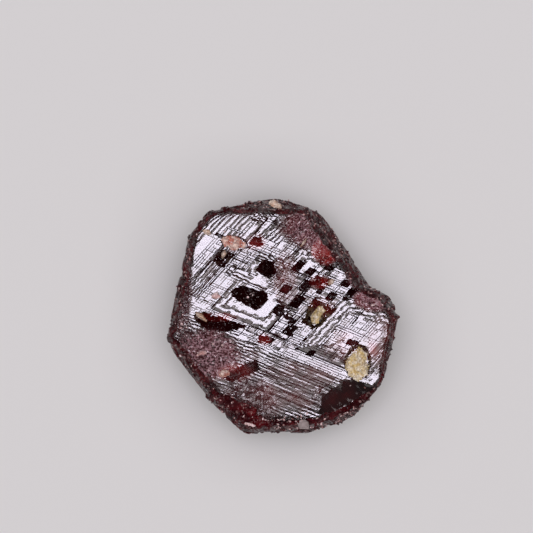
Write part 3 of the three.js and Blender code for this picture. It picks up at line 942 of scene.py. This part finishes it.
def garnetStone():
    stone, tree, shader, coords = newStone("almandine garnet")
    healedAndGlowRed, worn, dull, grit = (
        addNode(tree, "ShaderNodeAttribute", {"attribute_name": name}).outputs["Fac"]
        for name in ("healedAndGlowRed", "worn", "dull", "grit")
    )
    cloud = addNode(
        tree, "ShaderNodeTexNoise",
        {"Scale": 1 / (garnetLook["cloud size"] * mm), "Detail": 5.0, "Vector": coords},
    ).outputs[0]
    cracks = addNode(
        tree, "ShaderNodeMapRange",
        {"From Min": 0.3, "From Max": 0.7, "To Min": 0.4, "To Max": 1.4, "Value": cloud},
    ).outputs[0]
    # Wine red of healed cracks, and on the pit walls painted red glow where little light reaches.
    crackAndGlowRed = addNode(
        tree, "ShaderNodeMath", {"operation": "MULTIPLY", "use_clamp": True, 0: cracks, 1: healedAndGlowRed}
    ).outputs[0]
    patches = addNode(
        tree, "ShaderNodeTexNoise",
        {"Scale": 1 / (garnetLook["film size"] * mm), "Detail": 6.0, "Roughness": 0.65, "Vector": coords},
    ).outputs[0]
    ragged = addNode(
        tree, "ShaderNodeMapRange", {"From Min": 0.42, "From Max": 0.66, "To Max": 1.1, "Value": patches}
    ).outputs[0]
    filmed = addNode(
        tree, "ShaderNodeMath", {"operation": "MULTIPLY", "use_clamp": True, 0: ragged, 1: dull}
    ).outputs[0]
    inner = addNode(
        tree, "ShaderNodeMix",
        {"data_type": "RGBA", 0: crackAndGlowRed, 6: linear(garnetLook["clear"]), 7: linear(garnetLook["crackAndGlowRed"])},
    ).outputs[2]
    body = addNode(
        tree, "ShaderNodeMix", {"data_type": "RGBA", 0: filmed, 6: inner, 7: linear(garnetLook["film"])}
    ).outputs[2]
    tree.links.new(body, shader.inputs["Base Color"])
    clear = addNode(tree, "ShaderNodeMapRange", {"To Min": 0.97, "To Max": 0.4, "Value": crackAndGlowRed}).outputs[0]
    bare = addNode(tree, "ShaderNodeMapRange", {"To Min": 1.0, "To Max": 0.1, "Value": filmed}).outputs[0]
    through = addNode(tree, "ShaderNodeMath", {"operation": "MULTIPLY", 0: clear, 1: bare}).outputs[0]
    tree.links.new(through, shader.inputs["Transmission Weight"])
    gloss = addNode(tree, "ShaderNodeMapRange", {"To Min": 0.09, "To Max": 0.22, "Value": worn}).outputs[0]
    matt = addNode(
        tree, "ShaderNodeMath", {"operation": "MULTIPLY_ADD", 0: filmed, 1: 0.25, 2: gloss}
    ).outputs[0]
    tree.links.new(matt, shader.inputs["Roughness"])
    shader.inputs["IOR"].default_value = 1.79

    # The grains show where the face is gritty or dull.
    _, facets = brokenGrains(tree, coords, garnetLook["grain size"])
    wear = addNode(tree, "ShaderNodeMath", {"operation": "ADD", 0: grit, 1: dull}).outputs[0]
    broken = addNode(
        tree, "ShaderNodeMapRange", {"From Min": 0.12, "From Max": 2.2, "Value": wear}
    ).outputs[0]
    relief = addNode(
        tree, "ShaderNodeBump", {"Distance": garnetLook["grain lean"], "Strength": broken, "Height": facets}
    ).outputs[0]
    tree.links.new(relief, shader.inputs["Normal"])
    depth = addNode(
        tree, "ShaderNodeVolumeAbsorption",
        {"Color": linear(garnetLook["light through"]), "Density": garnetLook["density"]},
    ).outputs[0]
    tree.links.new(depth, tree.nodes["Material Output"].inputs["Volume"])
    return stone


# Weathered garnet on the sides: a maroon skin of broken grains that hides the clear stone. It is redder in
# blotches and where it broke last. A few grains glint, and in patches some grains are pale, partly with clay
# and partly as painted glints. Sizes are in mm.
skinLook = {
    "dusty": ("#30060a", "#581a1e"), "fresh": ("#33050c", "#600a11"), "clayAndGlint": "#d0a8a2", "pale from": 0.87,
    "blotch size": 0.8, "patch size": 1.9, "grain size": 0.15, "grain lean": 1.8,
}


def weatheredSkin():
    skin, tree, shader, coords = newStone("weathered garnet")
    blotch, patch = (
        addNode(
            tree, "ShaderNodeTexNoise",
            {"Scale": 1 / (skinLook[name] * mm), "Detail": detail, "Vector": coords},
        ).outputs[0]
        for name, detail in (("blotch size", 5.0), ("patch size", 3.0))
    )
    redder = addNode(
        tree, "ShaderNodeMapRange", {"From Min": 0.42, "From Max": 0.68, "Value": blotch}
    ).outputs[0]
    bare = addNode(tree, "ShaderNodeAttribute", {"attribute_name": "bare"}).outputs["Fac"]
    dusty, fresh = (
        addNode(
            tree, "ShaderNodeMix", {"data_type": "RGBA", 0: redder, 6: linear(dark), 7: linear(light)}
        ).outputs[2]
        for dark, light in (skinLook["dusty"], skinLook["fresh"])
    )
    crust = addNode(tree, "ShaderNodeMix", {"data_type": "RGBA", 0: bare, 6: dusty, 7: fresh}).outputs[2]
    cells, facets = brokenGrains(tree, coords, skinLook["grain size"])
    draws = addNode(tree, "ShaderNodeSeparateXYZ", {0: cells}).outputs
    # Pale flecks, partly clay and partly painted glints.
    pale = addNode(
        tree, "ShaderNodeMapRange",
        {"From Min": skinLook["pale from"], "From Max": skinLook["pale from"] + 0.1, "Value": draws["X"]},
    ).outputs[0]
    clayAndGlint = addNode(
        tree, "ShaderNodeMapRange", {"From Min": 0.42, "From Max": 0.6, "To Min": 0.12, "Value": patch}
    ).outputs[0]
    kept = addNode(tree, "ShaderNodeMapRange", {"To Min": 1.0, "To Max": 0.35, "Value": bare}).outputs[0]
    sparse = addNode(tree, "ShaderNodeMath", {"operation": "MULTIPLY", 0: clayAndGlint, 1: kept}).outputs[0]
    fleck = addNode(tree, "ShaderNodeMath", {"operation": "MULTIPLY", 0: pale, 1: sparse}).outputs[0]
    speckled = addNode(
        tree, "ShaderNodeMix", {"data_type": "RGBA", 0: fleck, 6: crust, 7: linear(skinLook["clayAndGlint"])}
    ).outputs[2]
    tree.links.new(speckled, shader.inputs["Base Color"])
    gloss = addNode(
        tree, "ShaderNodeMapRange", {"To Min": 0.12, "To Max": 0.5, "Value": draws["Y"]}
    ).outputs[0]
    tree.links.new(gloss, shader.inputs["Roughness"])
    shader.inputs["Specular IOR Level"].default_value = 0.22
    relief = addNode(
        tree, "ShaderNodeBump", {"Distance": skinLook["grain lean"], "Height": facets}
    ).outputs[0]
    tree.links.new(relief, shader.inputs["Normal"])
    return skin


garnet = makeGarnet()
runTree(garnet, growthTree(garnetStone(), weatheredSkin()), growthSteps)
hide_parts("garnet_crystal")
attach(garnet, "root")

# Rock grains. Each is a lump with angular granules set all over it. A row has its rock, how many granules,
# their size in mm, and how far the lump's own outline strays, in mm.
rockGrains = {
    "quartz_grain_shoulder": ("quartz", 200, 0.24, 2.2),
    "quartz_grain_notch": ("quartz", 70, 0.2, 1.2),
    "feldspar_patch_crown": ("pinkFeldspar", 150, 0.17, 2.0),
    "feldspar_grain_peak": ("feldspar", 40, 0.15, 0.7),
    "feldspar_grain_crack": ("feldspar", 24, 0.11, 0.5),
    "feldspar_grain_pit": ("feldspar", 16, 0.10, 0.4),
    "feldspar_grain_slot": ("feldspar", 36, 0.12, 0.6),
    "feldspar_grain_sliver": ("feldspar", 14, 0.09, 0.3),
    "feldspar_grain_round": ("paleFeldspar", 20, 0.11, 0.3),
    "feldspar_grain_gully": ("pinkFeldspar", 30, 0.12, 0.5),
    "feldspar_grain_ember": ("feldspar", 14, 0.10, 0.4),
    "feldspar_grain_west": ("paleFeldspar", 24, 0.11, 0.5),
    "feldspar_grain_foot": ("paleFeldspar", 26, 0.11, 0.5),
}
bays = {"size": 0.6, "middle": 0.6}  # in a lump's outline: their size in mm, and the level of no bay
# The granule is one unit across: its corners stray, and cleavage cuts it flat across x and z.
granuleShape = {"waver": 7.3, "stray": 0.16, "across": (-0.36, 0.40), "upright": (-0.38, 0.34)}
fullTurn = (6.3, 6.3, 6.3)  # radians
# A grain's lump is its solid in the frame, merged and refined. Closeness is how near granules may stand, as
# a share of the room that each would have.
rockLump = {"merge": 0.001, "cuts": 2, "smoothness": 0.6, "closeness": 0.7}
granuleSettings = {"Crowding": 4e8, "Smallest": 0.55, "Largest": 1.25, "Flatness": 0.75}


# A closed, faceted granule that reads as a cleaved bit.
def granuleMesh():
    mesh = bpy.data.meshes.new("granule")
    shape = bmesh.new()
    bmesh.ops.create_icosphere(shape, subdivisions=1, radius=0.5)
    for corner in shape.verts:
        corner.co += granuleShape["stray"] * noise.noise_vector(corner.co * granuleShape["waver"])
        corner.co.x = np.clip(corner.co.x, *granuleShape["across"])
        corner.co.z = np.clip(corner.co.z, *granuleShape["upright"])
    shape.to_mesh(mesh)
    shape.free()
    return addPiece("granule", mesh)


# Granules on points, turned at random.
def strewn(tree, start, points, sizes, seed):
    turn = addNode(
        tree, "FunctionNodeRandomValue", {"data_type": "FLOAT_VECTOR", 1: fullTurn, "Seed": seed}
    ).outputs[0]
    bit = addNode(tree, "GeometryNodeObjectInfo", {"Object": start["Granule"]}).outputs["Geometry"]
    return addNode(
        tree, "GeometryNodeInstanceOnPoints",
        {"Points": points, "Instance": bit, "Rotation": turn, "Scale": sizes},
    ).outputs[0]


# Strews granules over a lump: they stand on its surface and are joined to it.
def granuleTree(stone):
    numbers = ("Spacing", "Granule Size", "Raggedness", *granuleSettings)
    tree, start = newTree("granules", {"Granule": "Object"}, numbers)
    place = addNode(tree, "GeometryNodeInputPosition").outputs[0]
    normal = addNode(tree, "GeometryNodeInputNormal").outputs[0]
    wander = addNode(
        tree, "ShaderNodeTexNoise",
        {"Scale": 1 / (bays["size"] * mm), "Detail": 3.0, "Vector": place},
    ).outputs[0]
    centred = addNode(
        tree, "ShaderNodeMath", {"operation": "SUBTRACT", 0: wander, 1: bays["middle"]}
    ).outputs[0]
    stray = addNode(
        tree, "ShaderNodeMath", {"operation": "MULTIPLY", 0: centred, 1: start["Raggedness"]}
    ).outputs[0]
    offset = addNode(
        tree, "ShaderNodeVectorMath", {"operation": "SCALE", 0: normal, "Scale": stray}
    ).outputs[0]
    lump = addNode(
        tree, "GeometryNodeSetPosition", {"Geometry": start["Geometry"], "Offset": offset}
    ).outputs[0]
    spread = addNode(
        tree, "GeometryNodeDistributePointsOnFaces",
        {"distribute_method": "POISSON", "Mesh": lump, "Distance Min": start["Spacing"],
         "Density Max": start["Crowding"]},
    ).outputs["Points"]
    size = addNode(
        tree, "FunctionNodeRandomValue",
        {"data_type": "FLOAT", 2: start["Smallest"], 3: start["Largest"], "Seed": 9},
    ).outputs[1]
    scaled = addNode(
        tree, "ShaderNodeMath", {"operation": "MULTIPLY", 0: size, 1: start["Granule Size"]}
    ).outputs[0]
    flat = addNode(
        tree, "ShaderNodeMath", {"operation": "MULTIPLY", 0: scaled, 1: start["Flatness"]}
    ).outputs[0]
    sizes = addNode(tree, "ShaderNodeCombineXYZ", {"X": scaled, "Y": scaled, "Z": flat}).outputs[0]
    both = addNode(tree, "GeometryNodeJoinGeometry")
    tree.links.new(lump, both.inputs[0])
    tree.links.new(strewn(tree, start, spread, sizes, 5), both.inputs[0])
    return endTree(tree, both.outputs[0], stone)


# Pale rock: iron-stained quartz is sugary and lets some light in; feldspar is duller, with cleaved faces
# that catch the light, and both are dirty in the seams between granules. Sizes are in mm.
rockLook = {"stain size": 0.45, "seam size": 0.16, "relief": 0.03}
rocks = {
    "quartz": {"name": "iron-stained quartz", "pale": "#f7f0da", "stain": "#dfc988", "dirt": "#a78a58",
               "through": 0.08, "roughness": 0.38, "ior": 1.54},
    "feldspar": {"name": "cream feldspar", "pale": "#f1e3d0", "stain": "#cfa888", "dirt": "#7c4e40",
                 "through": 0.05, "roughness": 0.5, "ior": 1.53},
    "paleFeldspar": {"name": "pale pink feldspar", "pale": "#f1dcd8", "stain": "#cfa29a", "dirt": "#7a3f3c",
                     "through": 0.05, "roughness": 0.5, "ior": 1.53},
    "pinkFeldspar": {"name": "pink feldspar", "pale": "#f4e0d0", "stain": "#c8806c", "dirt": "#7c3d36",
                     "through": 0.05, "roughness": 0.52, "ior": 1.53},
}


def rockStone(rock):
    stone, tree, shader, coords = newStone(rock["name"])
    patches = addNode(
        tree, "ShaderNodeTexNoise",
        {"Scale": 1 / (rockLook["stain size"] * mm), "Detail": 4.0, "Roughness": 0.6, "Vector": coords},
    ).outputs[0]
    apart = addNode(
        tree, "ShaderNodeTexVoronoi", {"Scale": 1 / (rockLook["seam size"] * mm), "Vector": coords}
    ).outputs["Distance"]
    stain = addNode(
        tree, "ShaderNodeMapRange", {"From Min": 0.42, "From Max": 0.58, "Value": patches}
    ).outputs[0]
    coloured = addNode(
        tree, "ShaderNodeMix",
        {"data_type": "RGBA", 0: stain, 6: linear(rock["pale"]), 7: linear(rock["stain"])},
    ).outputs[2]
    seams = addNode(
        tree, "ShaderNodeMapRange", {"From Min": 0.4, "From Max": 0.8, "To Max": 0.6, "Value": apart}
    ).outputs[0]
    dirtied = addNode(
        tree, "ShaderNodeMix", {"data_type": "RGBA", 0: seams, 6: coloured, 7: linear(rock["dirt"])}
    ).outputs[2]
    tree.links.new(dirtied, shader.inputs["Base Color"])
    gloss = addNode(
        tree, "ShaderNodeMapRange",
        {"To Min": rock["roughness"] - 0.15, "To Max": rock["roughness"] + 0.2, "Value": patches},
    ).outputs[0]
    tree.links.new(gloss, shader.inputs["Roughness"])
    shader.inputs["IOR"].default_value = rock["ior"]
    shader.inputs["Transmission Weight"].default_value = rock["through"]
    relief = addNode(
        tree, "ShaderNodeBump", {"Strength": 0.5, "Distance": rockLook["relief"] * mm, "Height": patches}
    ).outputs[0]
    tree.links.new(relief, shader.inputs["Normal"])
    return stone


# Makes one rock grain from its row.
def makeRockGrain(name, tree, granule):
    rock, count, size, raggedness = rockGrains[name]
    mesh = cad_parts[name].data.copy()
    shape = bmesh.new()
    shape.from_mesh(mesh)
    bmesh.ops.remove_doubles(shape, verts=shape.verts, dist=rockLump["merge"] * mm)
    bmesh.ops.subdivide_edges(
        shape, edges=shape.edges, cuts=rockLump["cuts"], use_grid_fill=True, smooth=rockLump["smoothness"]
    )
    bmesh.ops.triangulate(shape, faces=shape.faces)
    shape.to_mesh(mesh)
    shape.free()
    area = sum(face.area for face in mesh.polygons)
    piece = addPiece(name + "_granular", mesh)
    values = {
        "Granule": granule,
        "Spacing": rockLump["closeness"] * math.sqrt(area / count),
        "Granule Size": size * mm,
        "Raggedness": raggedness * mm,
        **granuleSettings,
    }
    runTree(piece, tree, values)
    for face in piece.data.polygons:
        face.use_smooth = False
    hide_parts(name)
    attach(piece, "root")


granule = granuleMesh()
for rock in rocks:
    granular = granuleTree(rockStone(rocks[rock]))
    for name in rockGrains:
        if rockGrains[name][0] == rock:
            makeRockGrain(name, granular, granule)


# Crumbs of the same rock, smaller than the grains, stuck along the rim and in the dull hollows, and quartz
# sugar round the quartz grains. The pale feldspar crumbs are partly real crumbs and partly painted glints.
crumbs = {"Crowding": 3.4e6, "Spacing": 0.2 * mm, "Crumb Size": 0.2 * mm}
crumbShapes = ((0.5, 0.3, 0.3), (1.9, 1.0, 0.8))  # the least and the most, as shares of the crumb size
crumbKinds = {"feldspar_crumbs": ("crumbs", "paleFeldspar"), "quartz_crumbs": ("sugar", "quartz")}


def crumbTree(attribute, stone):
    tree, start = newTree(attribute, {"Granule": "Object"}, crumbs)
    amount = addNode(
        tree, "GeometryNodeInputNamedAttribute", {"data_type": "FLOAT", "Name": attribute}
    ).outputs["Attribute"]
    spread = addNode(
        tree, "GeometryNodeDistributePointsOnFaces",
        {"distribute_method": "POISSON", "Mesh": start["Geometry"], "Distance Min": start["Spacing"],
         "Density Max": start["Crowding"], "Density Factor": amount, "Seed": 4},
    ).outputs["Points"]
    shape = addNode(
        tree, "FunctionNodeRandomValue",
        {"data_type": "FLOAT_VECTOR", 0: crumbShapes[0], 1: crumbShapes[1], "Seed": 19},
    ).outputs[0]
    sizes = addNode(
        tree, "ShaderNodeVectorMath", {"operation": "SCALE", 0: shape, "Scale": start["Crumb Size"]}
    ).outputs[0]
    return endTree(tree, strewn(tree, start, spread, sizes, 15), stone)


for name, (attribute, rock) in crumbKinds.items():
    crumbPiece = addPiece(name, garnet.data.copy())
    stone = rockStone({**rocks[rock], "name": name.replace("_", " ")})
    runTree(crumbPiece, crumbTree(attribute, stone), {"Granule": granule, **crumbs})
    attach(crumbPiece, "root")

# The mica flake is a book of thin cleavage leaves, each a little turned and slid on the next, and the upper
# ones smaller.
mica = {
    "leaves": 7, "sides": 6, "twist": 0.7, "slide": 0.24, "fullness": 0.9, "narrowing": 0.5, "reach": 0.84,
    "stray": 0.5, "bevel": 0.006, "pale": "#8d7d74", "brown": "#54443d", "film size": 0.3,
}


# Mica, cleaved: flat leaves with a soft sheen, browner where a film lies on them.
def micaStone():
    stone, tree, shader, coords = newStone("grey-brown mica")
    film = addNode(
        tree, "ShaderNodeTexNoise", {"Scale": 1 / (mica["film size"] * mm), "Detail": 4.0, "Vector": coords}
    ).outputs[0]
    tint = addNode(
        tree, "ShaderNodeMix",
        {"data_type": "RGBA", 0: film, 6: linear(mica["pale"]), 7: linear(mica["brown"])},
    ).outputs[2]
    tree.links.new(tint, shader.inputs["Base Color"])
    gloss = addNode(tree, "ShaderNodeMapRange", {"To Min": 0.3, "To Max": 0.6, "Value": film}).outputs[0]
    tree.links.new(gloss, shader.inputs["Roughness"])
    shader.inputs["IOR"].default_value = 1.58
    return stone


def makeMica():
    low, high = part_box("mica_flake_foot")
    middle, half = (low + high) / 2, (high - low) / 2
    shape = bmesh.new()
    for n in range(mica["leaves"]):
        z = middle.z + half.z * (2 * (n + 0.5) / mica["leaves"] - 1)
        thick = mica["fullness"] * half.z / mica["leaves"]
        shrink = 1 - mica["narrowing"] * (n / mica["leaves"]) ** 2
        slide = mica["slide"] * mm * noise.noise_vector(Vector((n * 1.7, 3.1, 0.4)))
        twist = mica["twist"] * noise.noise(Vector((n * 2.3, 0.7, 5.1)))
        ring = []
        for k in range(mica["sides"]):
            angle = 2 * math.pi * k / mica["sides"] + twist
            stray = mica["reach"] + mica["stray"] * noise.noise(Vector((k * 3.7, n * 0.6, 1.3)))
            x = middle.x + slide.x + half.x * shrink * stray * math.cos(angle)
            y = middle.y + slide.y + half.y * shrink * stray * math.sin(angle)
            ring.append((x, y))
        lower = [shape.verts.new((x, y, z - thick)) for x, y in ring]
        upper = [shape.verts.new((x, y, z + thick)) for x, y in ring]
        shape.faces.new(upper)
        shape.faces.new(lower[::-1])
        for k in range(mica["sides"]):
            k1 = (k + 1) % mica["sides"]
            shape.faces.new((lower[k], lower[k1], upper[k1], upper[k]))
    bmesh.ops.bevel(shape, geom=shape.edges, offset=mica["bevel"] * mm, segments=1, affect="EDGES")
    mesh = bpy.data.meshes.new("micaFlake")
    shape.to_mesh(mesh)
    shape.free()
    mesh.materials.append(micaStone())
    piece = addPiece("mica_flake_leaves", mesh)
    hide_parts("mica_flake_foot")
    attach(piece, "root")
    print("mica flake made")


makeMica()
bpy.data.objects.remove(granule)
